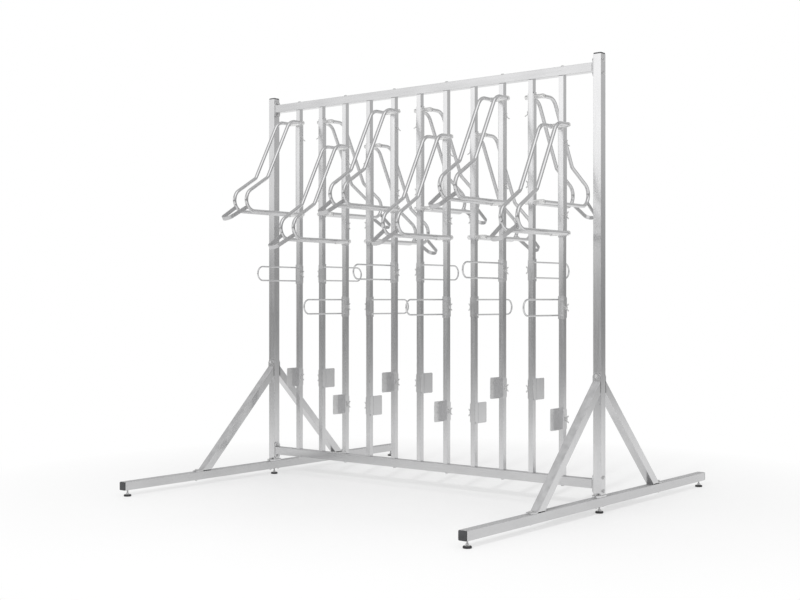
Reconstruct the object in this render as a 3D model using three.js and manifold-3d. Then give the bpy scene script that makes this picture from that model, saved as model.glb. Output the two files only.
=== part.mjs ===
// A free-standing two tier bike rack. X runs along the rack, Y to its back, Z up, floor at zero.
import * as THREE from 'three';
import { mergeVertices } from 'three/addons/utils/BufferGeometryUtils.js';
import Module from 'manifold-3d';

const wasm = await Module();
wasm.setup();

// Frame
const rackHeight = 2050;
const beamLength = 2080;
const postSpacing = 2020;
const frameTube = 40;
const beamUnderside = 32;
const topRailDrop = 61.5;
const bottomRailAboveBeam = 58;
const uprightTube = 25;
const uprightCount = 11;
const endUprightInset = 190;

// Plates, caps and fasteners of the frame
const postBaseThickness = 9.7;
const postBaseLength = 90;
const railPlateThickness = 5.5;
const railPlateLength = 90;
const plateBoltInset = 15;
const bracePlateThickness = 5;
const braceHeadLug = 35;
const braceToeLug = 42;
const lugBoltInset = 16;
const capThickness = 6;
const capInset = 1;
const boltAcross = 13;
const boltHead = 5.3;
const washerDiameter = 18;
const washerThickness = 1.8;
const nutHeight = 7;

// Braces: the height on the post and the reach on the beam of the upper face
const braceRise = 520;
const braceReach = 520;

// Levelling feet
const footPadDiameter = 36;
const footPadHeight = 9.5;
const footConeHeight = 5.5;
const footConeDiameter = 22;
const footCollarDiameter = 13;
const stemDiameter = 8;
const stemEngagement = 25;
const footTravelIn = 10;
const footRowInset = 33;

// Wheel holder: a bent tube loop, two cross bars, a strap and a long bracket on the upright
const holderDrop = 95;
const holderTierDrop = 153;
const holderTube = 18;
const holderSpread = 86;
const crossBarDiameter = 22;
const crossBarLength = 104;
const crossBarChamfer = 4;
const holderHeight = 489;
const holderTopReach = 121;
const holderTopRadius = 62;
const holderFallReach = 165;
const holderFallDepth = 310;
const holderShelfRadius = 28;
const holderNoseReach = 375;
const holderNoseRadius = 57;
const holderNoseSlope = THREE.MathUtils.degToRad(30);
const strapSlope = THREE.MathUtils.degToRad(29);
const strapStartReach = 430;
const strapStartHeight = 19;
const strapLength = 112;
const strapEndWidth = 60;
const strapEndBulge = 23;
const strapWidth = 20;
const strapThickness = 4;
const strapRoot = 10;
const holderBracketOverhang = 18;
const upperBoltDrop = 80;
const lowerBoltRise = 82;
const upperNutTurn = THREE.MathUtils.degToRad(40);

// Locking loop and guide plate
const loopDrop = 317;
const loopTierDrop = 172.5;
const loopRod = 8;
const loopGauge = 72;
const loopReach = 298;
const loopBracketHeight = 104;
const plateRise = 258;
const plateTierRise = 128.5;
const plateReach = 81;
const plateChamfer = 4;
const plateHeight = 100;

// Brackets and wing nuts
const bracketSheet = 3;
const bracketFlange = 12;
const bracketChamfer = 8;
const wingBoss = 10;
const wingLength = 11;
const wingSpan = 35;
const wingThickness = 3;
const wingRootRise = 2;
const wingTipRise = 11;
const wingTop = 17;
const wingNotch = 3;

// Fits and cuts
const seatGap = 0.3;
const weldSink = 0.5;
const stemClearance = 0.3;
const stemEndRoom = 1;
const overrun = 5;

// Facets of round shapes
const tubeSides = 8;
const rodSides = 6;
const roundSides = 12;
const washerSides = 8;
const bendStep = THREE.MathUtils.degToRad(46);
const nutSides = 6;
const strapSteps = 6;

// Sizes that follow from the ones above
const halfTube = frameTube / 2;
const postCentre = postSpacing / 2;
const beamTop = beamUnderside + frameTube;
const topRailCentre = rackHeight - topRailDrop;
const bottomRailCentre = beamTop + bottomRailAboveBeam;
const railHalf = postCentre - halfTube - seatGap;
const uprightPitch = (postSpacing - 2 * endUprightInset) / (uprightCount - 1);
const uprightBottom = bottomRailCentre + halfTube + seatGap;
const uprightTop = topRailCentre - halfTube - seatGap;
const bracketInner = uprightTube / 2 + seatGap;
const bracketOuter = bracketInner + bracketSheet;
// A faceted bar is flat on its axes, so it touches a face a little nearer than its radius
const flatRadius = (diameter, sides) => diameter / 2 * Math.cos(Math.PI / sides);
const crossBarSetback = bracketInner + crossBarDiameter / 2;
const loopSetback = bracketOuter + flatRadius(loopRod, rodSides) - weldSink;
const postBoltOffset = postBaseLength / 2 - plateBoltInset;
const railBoltOffset = railPlateLength / 2 - plateBoltInset;
const footRowOffset = beamLength / 2 - footRowInset;
const stemBoreDepth = stemEngagement + footTravelIn + stemEndRoom;

const steelPaint = { color: 0xc3c8cc, roughness: 0.22, metalness: 0.9 };
const darkSteelPaint = { color: 0xb4b9be, roughness: 0.22, metalness: 0.9 };
const footPaint = { color: 0x1c1c1e, roughness: 0.6, metalness: 0 };

// Turns a geometry into a solid that can be joined and cut
function solid(geometry) {
  const bare = geometry.clone();
  bare.deleteAttribute('normal');
  bare.deleteAttribute('uv');
  const merged = mergeVertices(bare);
  const vertProperties = new Float32Array(merged.attributes.position.array);
  const triVerts = new Uint32Array(merged.index.array);
  return new wasm.Manifold(new wasm.Mesh({ numProp: 3, vertProperties, triVerts }));
}

function joined(parts) {
  return parts.reduce((whole, part) => whole.add(part));
}

function node(name, body, paint) {
  const result = body.getMesh();
  const geometry = new THREE.BufferGeometry();
  geometry.setAttribute('position', new THREE.BufferAttribute(result.vertProperties, result.numProp));
  geometry.setIndex(new THREE.BufferAttribute(result.triVerts, 1));
  geometry.computeVertexNormals();
  const mesh = new THREE.Mesh(geometry, new THREE.MeshStandardMaterial(paint));
  mesh.name = name;
  return mesh;
}

// A box given by its low and high corners
function block(low, high) {
  const size = high.map((value, axis) => value - low[axis]);
  const middle = high.map((value, axis) => (value + low[axis]) / 2);
  return solid(new THREE.BoxGeometry(...size).translate(...middle));
}

// A flat outline pushed along an axis, centred on zero along it
function slab(points, thickness, toAxis) {
  const shape = new THREE.Shape(points.map(([u, v]) => new THREE.Vector2(u, v)));
  const geometry = new THREE.ExtrudeGeometry(shape, { depth: thickness, bevelEnabled: false });
  geometry.translate(0, 0, -thickness / 2);
  return solid(geometry.applyMatrix4(toAxis));
}

// Outline (u, v) laid on (Y, Z) with thickness along X, on (X, Z) along -Y, and on (X, Y) along Z
const basis = (x, y, z) => new THREE.Matrix4().makeBasis(
  new THREE.Vector3(...x), new THREE.Vector3(...y), new THREE.Vector3(...z));
const alongX = basis([0, 1, 0], [0, 0, 1], [1, 0, 0]);
const alongY = basis([1, 0, 0], [0, 0, 1], [0, -1, 0]);
const alongZ = basis([1, 0, 0], [0, 1, 0], [0, 0, 1]);
const downward = basis([1, 0, 0], [0, -1, 0], [0, 0, -1]);

// A round bar of the given sides along an axis, starting at zero
function roundBar(diameter, length, sides, toAxis) {
  const geometry = new THREE.CylinderGeometry(diameter / 2, diameter / 2, length, sides);
  geometry.rotateX(Math.PI / 2).translate(0, 0, length / 2);
  return solid(geometry.applyMatrix4(toAxis));
}

// Points of an arc, in a plane
function arc(centre, radius, from, to, steps) {
  const turns = Array.from({ length: steps + 1 }, (_, step) => from + (to - from) * step / steps);
  return turns.map((turn) => [centre[0] + radius * Math.cos(turn), centre[1] + radius * Math.sin(turn)]);
}

// An oblong outline with round ends, long along its second direction
function oblong(width, length) {
  const radius = width / 2;
  const reach = length / 2 - radius;
  const upper = arc([0, reach], radius, 0, Math.PI, roundSides / 2);
  const lower = arc([0, -reach], radius, Math.PI, 2 * Math.PI, roundSides / 2);
  return [...upper, ...lower];
}

// A lug outline: square at its root, round at its tip, long along its second direction
function lug(width, root, tip) {
  const radius = width / 2;
  return [[-radius, root], [radius, root], ...arc([0, tip - radius], radius, 0, Math.PI, roundSides / 2)];
}

// A path of straight runs and bends that only puts rings where the direction changes
class BentPath extends THREE.Curve {
  constructor(rings) {
    super();
    this.rings = rings;
  }

  ringAt(share) {
    return this.rings[Math.round(share * (this.rings.length - 1))];
  }

  getPointAt(share) {
    return this.ringAt(share).point.clone();
  }

  getTangentAt(share) {
    return this.ringAt(share).tangent.clone();
  }
}

function bendRings(corner, inward, outward, radius) {
  const angle = inward.angleTo(outward);
  const axis = inward.clone().cross(outward).normalize();
  const toCentre = axis.clone().cross(inward);
  const start = corner.clone().addScaledVector(inward, -radius * Math.tan(angle / 2));
  const centre = start.clone().addScaledVector(toCentre, radius);
  const steps = Math.ceil(angle / bendStep);
  return Array.from({ length: steps + 1 }, (_, step) => {
    const turn = angle * step / steps;
    const point = centre.clone();
    point.addScaledVector(toCentre, -radius * Math.cos(turn));
    point.addScaledVector(inward, radius * Math.sin(turn));
    const tangent = inward.clone().multiplyScalar(Math.cos(turn));
    tangent.addScaledVector(toCentre, Math.sin(turn));
    return { point, tangent };
  });
}

// A round bar bent along corners, each with its own bend radius
function bentBar(corners, radii, diameter, sides) {
  const points = corners.map((corner) => new THREE.Vector3(...corner));
  const headings = points.slice(1).map((point, index) => point.clone().sub(points[index]).normalize());
  const rings = [{ point: points[0], tangent: headings[0] }];
  radii.forEach((radius, index) => {
    rings.push(...bendRings(points[index + 1], headings[index], headings[index + 1], radius));
  });
  rings.push({ point: points[points.length - 1], tangent: headings[headings.length - 1] });
  const outline = arc([0, 0], diameter / 2, Math.PI / sides, 2 * Math.PI + Math.PI / sides, sides);
  const shape = new THREE.Shape(outline.slice(0, sides).map(([u, v]) => new THREE.Vector2(u, v)));
  const options = { steps: rings.length - 1, bevelEnabled: false, extrudePath: new BentPath(rings) };
  return solid(new THREE.ExtrudeGeometry(shape, options));
}

// A bolt head on its washer, standing out of a face
function boltOn(face, toAxis) {
  const washer = roundBar(washerDiameter, washerThickness + weldSink, washerSides, toAxis);
  const reach = washerThickness + weldSink + boltHead;
  const head = roundBar(boltAcross, reach, rodSides, toAxis);
  const sink = new THREE.Vector3(0, 0, -weldSink).applyMatrix4(toAxis);
  return washer.add(head).translate(face[0] + sink.x, face[1] + sink.y, face[2] + sink.z);
}

function nutOn(face, toAxis) {
  const nut = roundBar(boltAcross, nutHeight + weldSink, rodSides, toAxis);
  const sink = new THREE.Vector3(0, 0, -weldSink).applyMatrix4(toAxis);
  return nut.translate(face[0] + sink.x, face[1] + sink.y, face[2] + sink.z);
}

// A wing nut standing out of the right flange of a bracket
function wingNut(height, turn) {
  const boss = roundBar(wingBoss, wingLength + weldSink, nutSides, alongX).translate(-weldSink, 0, 0);
  const tip = wingSpan / 2;
  const root = wingBoss / 2;
  const half = [[0, wingRootRise], [tip, wingTipRise], [tip, wingTop], [root, wingLength - wingNotch]];
  const mirrored = half.slice(1).reverse().map(([u, v]) => [-u, v]);
  const wings = slab([...half, ...mirrored], wingThickness, basis([0, 0, 1], [1, 0, 0], [0, 1, 0]));
  const degrees = THREE.MathUtils.radToDeg(turn);
  return boss.add(wings).rotate([degrees, 0, 0]).translate(bracketOuter, 0, height);
}

// A channel over the front of an upright, its flanges reaching back with chamfered corners
function channel(low, high) {
  const front = -bracketOuter;
  const outline = [[front, low], [bracketFlange - bracketChamfer, low], [bracketFlange, low + bracketChamfer],
    [bracketFlange, high - bracketChamfer], [bracketFlange - bracketChamfer, high], [front, high]];
  const body = slab(outline, 2 * bracketOuter, alongX);
  const inside = block(
    [-bracketInner, -bracketInner, low - overrun],
    [bracketInner, bracketFlange + overrun, high + overrun]);
  return body.subtract(inside);
}

// A bar across a bracket with chamfered ends, carrying the runs of a wheel holder
function crossBar(height) {
  const radius = crossBarDiameter / 2;
  const end = crossBarLength / 2;
  const profile = [[0, -end], [radius - crossBarChamfer, -end], [radius, crossBarChamfer - end],
    [radius, end - crossBarChamfer], [radius - crossBarChamfer, end], [0, end]];
  const lathe = new THREE.LatheGeometry(profile.map(([r, x]) => new THREE.Vector2(r, x)), roundSides);
  return solid(lathe.rotateZ(-Math.PI / 2)).translate(0, -crossBarSetback, height);
}

// The two bent tube runs of a wheel holder, from one cross bar to the other
function holderLoop(top) {
  const bottom = top - holderHeight;
  const back = -crossBarSetback;
  const fallEndReach = holderTopReach + holderFallReach;
  const fallEnd = [-fallEndReach, top - holderFallDepth];
  const noseCentre = [-holderNoseReach, bottom + holderNoseRadius];
  const slopeDirection = [-Math.cos(holderNoseSlope), -Math.sin(holderNoseSlope)];
  const tangent = [
    noseCentre[0] - holderNoseRadius * Math.sin(holderNoseSlope),
    noseCentre[1] + holderNoseRadius * Math.cos(holderNoseSlope)];
  const length = holderNoseRadius * Math.tan((Math.PI - holderNoseSlope) / 2);
  const noseTip = [tangent[0] + length * slopeDirection[0], bottom];
  const runs = [-1, 1].map((side) => {
    const x = side * holderSpread / 2;
    const corners = [[x, back, top], [x, -holderTopReach, top], [x, ...fallEnd], [x, ...noseTip],
      [x, back, bottom]];
    const radii = [holderTopRadius, holderShelfRadius, holderNoseRadius];
    return bentBar(corners, radii, holderTube, tubeSides);
  });
  return joined([...runs, crossBar(top), crossBar(bottom)]);
}

// The flat strap at the tip of a wheel holder, on edge and with a bulging end
function strap(top) {
  const start = holderSpread / 2;
  const end = strapEndWidth / 2;
  const radius = (end * end + strapEndBulge * strapEndBulge) / (2 * strapEndBulge);
  const centre = strapLength + strapEndBulge - radius;
  const reach = Math.atan2(end, strapLength - centre);
  const half = strapThickness / 2;
  const line = (offset) => [[-strapRoot, start + offset],
    ...arc([centre, 0], radius + offset, reach, -reach, strapSteps),
    [-strapRoot, -start - offset]];
  const outline = [...line(half), ...line(-half).reverse()];
  const slope = new THREE.Matrix4().makeRotationX(strapSlope);
  const flat = basis([0, -1, 0], [1, 0, 0], [0, 0, 1]);
  const body = slab(outline, strapWidth, new THREE.Matrix4().multiplyMatrices(slope, flat));
  return body.translate(0, -strapStartReach, top - holderHeight + strapStartHeight);
}

// Heights of the fittings on an upright, high or low
function fittingHeights(isLow) {
  const holderTop = topRailCentre - holderDrop - (isLow ? holderTierDrop : 0);
  const highHolderBottom = topRailCentre - holderDrop - holderHeight;
  const loopCentre = highHolderBottom - loopDrop - (isLow ? loopTierDrop : 0);
  const plateCentre = bottomRailCentre + halfTube + plateRise + (isLow ? 0 : plateTierRise);
  return { holderTop, loopCentre, plateCentre };
}

function wheelHolder(top) {
  const bottom = top - holderHeight;
  return joined([
    channel(bottom - holderBracketOverhang, top + holderBracketOverhang),
    holderLoop(top),
    strap(top),
    wingNut(top - upperBoltDrop, upperNutTurn),
    wingNut(bottom + lowerBoltRise, 0)]);
}

function lockingLoop(centre) {
  const half = loopGauge / 2;
  const x = -loopSetback;
  const tip = -loopReach + loopRod / 2;
  const corners = [[x, bracketFlange, centre + half], [x, tip, centre + half],
    [x, tip, centre - half], [x, bracketFlange, centre - half]];
  const low = centre - loopBracketHeight / 2;
  return joined([
    channel(low, low + loopBracketHeight),
    bentBar(corners, [half, half], loopRod, rodSides),
    wingNut(centre, 0)]);
}

function guidePlate(centre) {
  const low = centre - plateHeight / 2;
  const high = low + plateHeight;
  const back = -bracketInner;
  const outline = [[back, high], [plateChamfer - plateReach, high], [-plateReach, high - plateChamfer],
    [-plateReach, low + plateChamfer], [plateChamfer - plateReach, low], [back, low]];
  const wing = slab(outline, bracketSheet, alongX).translate(bracketSheet / 2 - bracketOuter, 0, 0);
  return joined([channel(low, high), wing, wingNut(centre, 0)]);
}

// The fittings of an upright: turned to face the back on every second one
function placed(body, index) {
  const isBack = index % 2 === 1;
  const x = (index - (uprightCount - 1) / 2) * uprightPitch;
  return body.rotate([0, 0, isBack ? 180 : 0]).translate(x, 0, 0);
}

function upright() {
  const half = uprightTube / 2;
  return block([-half, -half, uprightBottom], [half, half, uprightTop]);
}

// An end cap, a little smaller than the tube except along the tube's own axis
function cap(low, high, tubeAxis) {
  const inset = [0, 1, 2].map((axis) => (axis === tubeAxis ? 0 : capInset));
  return block(low.map((value, axis) => value + inset[axis]), high.map((value, axis) => value - inset[axis]));
}

// A floor beam with caps, bores for the three feet, and the nuts under its bolts
function beam() {
  const end = beamLength / 2;
  const tubeEnd = end - capThickness;
  const parts = [block([-halfTube, -tubeEnd, beamUnderside], [halfTube, tubeEnd, beamTop])];
  [-1, 1].forEach((side) => {
    const ends = [side * end, side * (tubeEnd - weldSink)].sort((a, b) => a - b);
    parts.push(cap([-halfTube, ends[0], beamUnderside], [halfTube, ends[1], beamTop], 1));
    const braceBolt = side * (braceReach + halfTube + braceToeLug - lugBoltInset);
    parts.push(nutOn([0, braceBolt, beamUnderside], downward));
    parts.push(nutOn([0, side * postBoltOffset, beamUnderside], downward));
  });
  const bore = roundBar(stemDiameter + 2 * stemClearance, stemBoreDepth + overrun, roundSides, alongZ);
  const bores = [-1, 0, 1].map((place) => bore.translate(0, place * footRowOffset, beamUnderside - overrun));
  return joined(parts).subtract(joined(bores));
}

function post(side) {
  const base = beamTop + seatGap;
  const tubeBottom = base + postBaseThickness;
  const tubeTop = rackHeight - capThickness;
  const plate = slab(oblong(frameTube, postBaseLength), postBaseThickness, alongZ);
  const parts = [
    plate.translate(0, 0, base + postBaseThickness / 2),
    block([-halfTube, -halfTube, tubeBottom - weldSink], [halfTube, halfTube, tubeTop]),
    cap([-halfTube, -halfTube, tubeTop - weldSink], [halfTube, halfTube, rackHeight], 2)];
  [-1, 1].forEach((end) => {
    parts.push(boltOn([0, end * postBoltOffset, tubeBottom], alongZ));
    [bottomRailCentre, topRailCentre].forEach((height) => {
      const bolt = boltOn([halfTube, 0, height + end * railBoltOffset], alongX);
      parts.push(side > 0 ? bolt : bolt.rotate([0, 0, 180]));
    });
  });
  return joined(parts);
}

// A rail with its two end plates, and bolts into every second upright
function rail(centre, isTop) {
  const inner = railHalf - railPlateThickness;
  const parts = [block([-inner - weldSink, -halfTube, centre - halfTube],
    [inner + weldSink, halfTube, centre + halfTube])];
  [-1, 1].forEach((side) => {
    const plate = slab(oblong(frameTube, railPlateLength), railPlateThickness, alongX);
    parts.push(plate.translate(side * (railHalf - railPlateThickness / 2), 0, centre));
    [-1, 1].forEach((end) => {
      const nut = nutOn([-inner, 0, centre + end * railBoltOffset], alongX);
      parts.push(side > 0 ? nut.mirror([1, 0, 0]) : nut);
    });
  });
  const face = isTop ? centre + halfTube : centre - halfTube;
  for (let index = 0; index < uprightCount; index += 2) {
    const x = (index - (uprightCount - 1) / 2) * uprightPitch;
    parts.push(boltOn([x, 0, face], isTop ? alongZ : downward));
  }
  return joined(parts);
}

// A slanting brace between a post and a beam, with a lug at each end; side is front or back
function brace(side) {
  const near = halfTube + seatGap;
  const floor = beamTop + seatGap;
  const high = beamTop + braceRise;
  const far = halfTube + braceReach;
  const length = Math.hypot(braceRise, braceReach);
  const drop = frameTube * length / braceReach;
  const setback = frameTube * length / braceRise;
  const outline = [[near, high], [near, high - drop], [far - setback, floor], [far, floor]];
  const tube = slab(outline.map(([y, z]) => [-y, z]), frameTube, alongX);
  const head = slab(lug(frameTube, high - drop, high + braceHeadLug), bracePlateThickness, alongY);
  const toe = slab(lug(frameTube, far - setback, far + braceToeLug), bracePlateThickness, alongZ);
  const headBolt = [0, -near - bracePlateThickness, high + braceHeadLug - lugBoltInset];
  const toeBolt = [0, -far - braceToeLug + lugBoltInset, floor + bracePlateThickness];
  const body = joined([
    tube,
    head.translate(0, -near - bracePlateThickness / 2, 0),
    toe.mirror([0, 1, 0]).translate(0, 0, floor + bracePlateThickness / 2),
    boltOn(headBolt, alongY),
    boltOn(toeBolt, alongZ)]);
  return side < 0 ? body : body.rotate([0, 0, 180]);
}

// A levelling foot: pad, cone and the threaded stem that runs up into the beam
function foot() {
  const pad = footPadDiameter / 2;
  const coneTop = footPadHeight + footConeHeight;
  const stem = stemDiameter / 2;
  const profile = [[0, 0], [pad, 0], [pad, footPadHeight], [footConeDiameter / 2, footPadHeight],
    [footCollarDiameter / 2, coneTop], [stem, coneTop], [stem, beamUnderside + stemEngagement],
    [0, beamUnderside + stemEngagement]];
  const lathe = new THREE.LatheGeometry(profile.map(([r, z]) => new THREE.Vector2(r, z)), roundSides);
  return solid(lathe.rotateX(Math.PI / 2));
}

const rack = new THREE.Group();
rack.name = 'bike_rack';
const add = (name, body, paint) => rack.add(node(name, body, paint));

[-1, 1].forEach((side) => {
  const end = side < 0 ? 'left' : 'right';
  const x = side * postCentre;
  add(`beam_${end}`, beam().translate(x, 0, 0), steelPaint);
  add(`post_${end}`, post(side).translate(x, 0, 0), steelPaint);
  add(`brace_${end}_front`, brace(-1).translate(x, 0, 0), steelPaint);
  add(`brace_${end}_back`, brace(1).translate(x, 0, 0), steelPaint);
  ['front', 'middle', 'back'].forEach((place, index) => {
    add(`foot_${end}_${place}`, foot().translate(x, (index - 1) * footRowOffset, 0), footPaint);
  });
});
add('rail_top', rail(topRailCentre, true), steelPaint);
add('rail_bottom', rail(bottomRailCentre, false), steelPaint);

for (let index = 0; index < uprightCount; index += 1) {
  const label = String(index + 1).padStart(2, '0');
  const isLow = Math.floor(index / 2) % 2 === 1;
  const { holderTop, loopCentre, plateCentre } = fittingHeights(isLow);
  add(`upright_${label}`, placed(upright(), index), steelPaint);
  add(`wheel_holder_${label}`, placed(wheelHolder(holderTop), index), steelPaint);
  add(`locking_loop_${label}`, placed(lockingLoop(loopCentre), index), darkSteelPaint);
  add(`guide_plate_${label}`, placed(guidePlate(plateCentre), index), darkSteelPaint);
}

export default rack;
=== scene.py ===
import math

import bmesh
import bpy
import numpy as np
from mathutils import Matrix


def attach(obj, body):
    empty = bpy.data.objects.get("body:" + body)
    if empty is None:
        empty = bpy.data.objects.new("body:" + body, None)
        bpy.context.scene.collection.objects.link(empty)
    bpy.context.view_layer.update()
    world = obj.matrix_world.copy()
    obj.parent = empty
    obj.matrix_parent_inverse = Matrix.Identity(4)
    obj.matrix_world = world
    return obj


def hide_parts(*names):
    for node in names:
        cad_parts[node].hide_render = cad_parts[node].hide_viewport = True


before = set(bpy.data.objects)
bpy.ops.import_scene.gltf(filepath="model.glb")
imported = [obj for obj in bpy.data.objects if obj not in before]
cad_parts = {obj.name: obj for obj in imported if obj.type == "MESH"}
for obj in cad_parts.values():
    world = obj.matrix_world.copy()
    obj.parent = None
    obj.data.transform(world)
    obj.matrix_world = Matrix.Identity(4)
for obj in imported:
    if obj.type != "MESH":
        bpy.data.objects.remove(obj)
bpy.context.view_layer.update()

# All sizes are in millimetres, and MM turns them into the frame's metres. The rails and posts are
# placed by their middle lines, and GAP lies between pieces that meet. HOLD is how far the points
# that keep a flat side flat stand from its corners.
MM = 0.001
RACK_HEIGHT = 2050.0
BEAM_LENGTH = 2080.0
POST_X = 1010.0
TUBE = 40.0
HALF = TUBE / 2
BEAM_LOW = 32.0
BEAM_TOP = BEAM_LOW + TUBE
TOP_RAIL = 1988.5
BOTTOM_RAIL = 130.0
UPRIGHT = 25.0
UPRIGHTS = 11
PITCH = 164.0
GAP = 0.3
TUBE_CORNER = 0.9
UPRIGHT_CORNER = 0.7
HOLD = 0.1

# Caps, and plates as width, length and thickness. The sunk sizes tell how far a welded or pressed
# piece goes into its neighbour.
POST_CAP, POST_CAP_BEVEL = 6.0, 1.6
BEAM_CAP, BEAM_CAP_BEVEL = 4.5, 1.4
CAP_CORNER = 4.5
BASE_PLATE = (TUBE, 90.0, 9.7)
RAIL_PLATE = (TUBE, 90.0, 5.5)
PLATE_BOLT = 30.0
SUNK, RAIL_SUNK, POST_SUNK = 0.2, 0.3, 0.4

BRACE_RISE = 520.0
BRACE_REACH = 520.0
BRACE_PLATE = 5.0
HEAD_LUG = 35.0
TOE_LUG = 42.0
LUG_BOLT_INSET = 16.0
LUG_WELD_HALF = HALF - 3.0

# M8 bolts and nuts: width over the flats, a head's ends over its face, radius of a bolt, chamfer of
# the hexagons, and heights of the nuts
ACROSS = 13.0
HEAD_LOW, HEAD_HIGH = 1.6, 6.8
STUD = 4.0
HEXAGON_BEVEL = 0.9
BEAM_NUT, RAIL_NUT = 5.5, 5.0

FEET_Y = 1007.0
COLLAR_LOW, COLLAR_HIGH, COLLAR_BEVEL = 13.2, 17.5, 0.8
STEM_LOW = 17.0
STEM_TOP = BEAM_LOW + 25.0
STEM_RADIUS = 4.0
STEM_ROOT, STEM_TIP = (3.6, 14.0), (3.2, STEM_TOP)
THREAD_PITCH = 1.25
THREAD_DEPTH = 0.55

# Brackets: a sheet folded round an upright's front, whose flanges end FLANGE_REAR behind its middle
SHEET = 3.0
SHEET_BEND = 1.7
BRACKET_MID = UPRIGHT / 2 + GAP + SHEET / 2
BRACKET_FACE = BRACKET_MID + SHEET / 2
FLANGE_REAR = 12.0
CHAMFER = 8.0

# Wheel holders: TOP is the upper cross bar's middle, TIER how much lower the low ones stand, and
# the nuts are placed below the upper bar and above the lower one
HOLDER_TOP = TOP_RAIL - 95.0
HOLDER_TIER = 153.0
HOLDER_HEIGHT = 489.0
HOLDER_SIDE = 43.0
HOLDER_TUBE = 9.0
SHOULDER_Y, SHOULDER_RADIUS = -121.0, 62.0
KNEE_Y, KNEE_DROP, KNEE_RADIUS = -286.0, 310.0, 28.0
NOSE_Y, NOSE_RADIUS, NOSE_SLOPE = -375.0, 57.0, math.radians(30)
CROSS_BAR = 11.0
CROSS_HALF = 52.0
CROSS_RIM = 5.0
CROSS_Y = -(UPRIGHT / 2 + GAP + CROSS_BAR)
STRAP_SECTION = (20.0, 4.0, 0.9)
STRAP_Y, STRAP_RISE, STRAP_SLOPE = -430.0, 19.0, math.radians(29)
STRAP_WIDTH, STRAP_BULGE, STRAP_LENGTH, STRAP_ROOT = 30.0, 23.0, 112.0, -8.0
STRAP_SPREAD = HOLDER_SIDE + 0.6
BRACKET_PAST_BAR = 18.0
UPPER_NUT, LOWER_NUT = 80.0, 82.0
UPPER_NUT_TURN = math.radians(40)

# Welds of the holders: across the bracket over and under a bar, round a run at its bar, and between
# a run and its strap, from and to as Y and height over the lower bar
BAR_WELD_HALF, BAR_WELD_OFF, BAR_WELD_SUNK = 12, 8.4, 0.6
RING_WELD_Y = CROSS_Y - 8.2
STRAP_WELD, STRAP_WELD_OFF = ((-434, 25), (-442, 4)), 1.6

# Locking loops and guide plates
LOOP_CENTRE = HOLDER_TOP - HOLDER_HEIGHT - 317.0
LOOP_TIER = 172.5
LOOP_HALF = 36.0
LOOP_REACH = 298.0
LOOP_BRACKET_HALF = 52
LOOP_WELD, LOOP_WELD_OFF, LOOP_WELD_SUNK = (-11, 3), 3.2, 0.8
ROD, ROD_SUNK = 4.0, 0.3
PLATE_CENTRE = BOTTOM_RAIL + HALF + 258.0 + 128.5
PLATE_TIER = 128.5
PLATE_HALF = 50
PLATE_FRONT, PLATE_BACK, PLATE_CHAMFER, PLATE_BEVEL = -81.0, -11.0, 4.0, 0.4

# Turned shapes, as points of radius and height
BOLT_WASHER = [(8.5, -0.3), (9.0, 0.2), (9.0, 1.3), (8.5, 1.7)]
BOLT_CROWN = [(ACROSS * 0.47, 1.6), (ACROSS * 0.47, 6.7), (ACROSS * 0.40, 7.1)]
BEAM_COLLAR = [(8.5, 0.4), (8.5, -1.6), (7.9, -2.2), (4.5, -2.2)]
FOOT_PAD = [(15.5, 0.0), (17.0, 0.3), (18.0, 1.6), (18.0, 6.2), (17.2, 8.2), (15.0, 9.3),
            (11.2, 9.5)]
FOOT_CONE = [(11.0, 9.3), (11.0, 10.6), (9.0, 11.9), (7.0, 14.2), (6.4, 15.0), (4.2, 15.0)]
WING_WASHER = [(8.6, -0.2), (9.0, 0.1), (9.0, 1.1), (8.6, 1.4)]
WING_BOSS = [(7.2, 0.0), (7.2, 1.0), (5.4, 1.2), (4.9, 6.0), (4.2, 7.6), (3.2, 7.8)]
WING_BOSS_RISE = 1.2
WING_BOLT_TIP = [(3.0, 7.6), (3.0, 9.4), (2.4, 10.0)]
RING_BEAD = [(8.6, 0.0), (10.2, 1.0), (10.5, 2.2), (9.9, 3.4), (8.6, 4.2)]

# The wings of a nut. The first four are each a size at the root and its change up to the tip. The
# paddle is the share of the way where the end's rounding begins, and the rounding's length.
WING_REACH = (2.5, 14.5)
WING_LIFT = (4.6, 12.0)
WING_WIDTH = (2.4, 1.4)
WING_THICK = (2.0, -0.4)
WING_CURVE = 1.1
WING_PADDLE = (0.75, 0.255)

# Weld beads: their radii on square tubes, lugs, holders and loops, the spacing of their rows, the
# height of their ripple and its angle per millimetre, how blunt their ends are, and a way that no
# weld runs
TUBE_BEAD, LUG_BEAD, HOLDER_BEAD, LOOP_BEAD = 1.8, 2.2, 2.0, 1.5
BEAD_STEP, BEAD_RIPPLE, BEAD_WAVE, BEAD_BLUNT = 1.1, 0.12, 2.1, 8
BESIDE = (0.31, 0.57, 0.76)

# Edges from SHARP on are shaded hard, and TINY keeps lengths above zero
SHARP = math.radians(34)
TINY = 1e-9


# Shapes: each is a pair of a vertex array and a list of faces.

def loft(rings):
    """A skin over rings of equal size, with flat ends. Point (i, j) is ring i's point j, and each
    face joins (i, j), (i, j+1), (i+1, j+1) and (i+1, j), where j wraps round."""
    rings = np.asarray(rings, float)
    rows, columns = rings.shape[:2]
    i = np.arange(rows - 1)[:, None]
    j = np.arange(columns)[None, :]
    after = (j + 1) % columns
    here, beyond = i * columns, (i + 1) * columns
    corners = [here + j, here + after, beyond + after, beyond + j]
    faces = np.stack(corners, -1).reshape(-1, 4).tolist()
    faces.append(list(range(columns))[::-1])
    faces.append([(rows - 1) * columns + j for j in range(columns)])
    return rings.reshape(-1, 3), faces


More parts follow.
